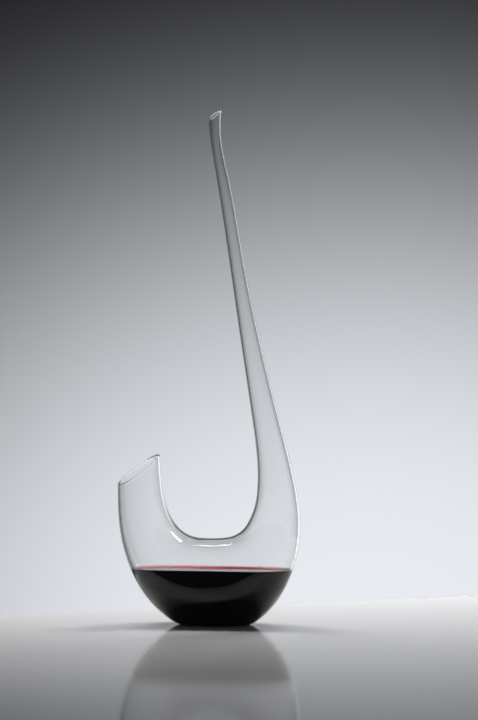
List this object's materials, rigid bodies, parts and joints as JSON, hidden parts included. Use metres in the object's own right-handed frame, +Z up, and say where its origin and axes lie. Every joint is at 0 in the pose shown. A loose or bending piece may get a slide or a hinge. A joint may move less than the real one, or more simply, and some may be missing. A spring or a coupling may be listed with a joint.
{
  "type": "wine decanter",
  "caption": "Free-standing swan-shaped decanter of clear blown glass, filled through a wide slanted tail mouth and poured from a long leaning neck, holding red wine.",
  "frame": {"origin": "centre of the flat foot, on the surface that the decanter stands on", "axes": "+Z up, +X from the tail towards the neck, +Y across the bowl; the shape is symmetric about the XZ plane"},
  "size_m": [0.2206, 0.116, 0.5996],
  "materials": {
    "clear_glass": "clear, fire polished",
    "red_wine": "clear deep red liquid with a glossy level surface"
  },
  "bodies": {
    "root": {"tail": "clear_glass", "bowl": "clear_glass", "neck_root": "clear_glass", "neck_lower": "clear_glass", "neck_middle": "clear_glass", "neck_upper": "clear_glass", "neck_tip": "clear_glass", "wine": "red_wine"}
  },
  "joints": []
}
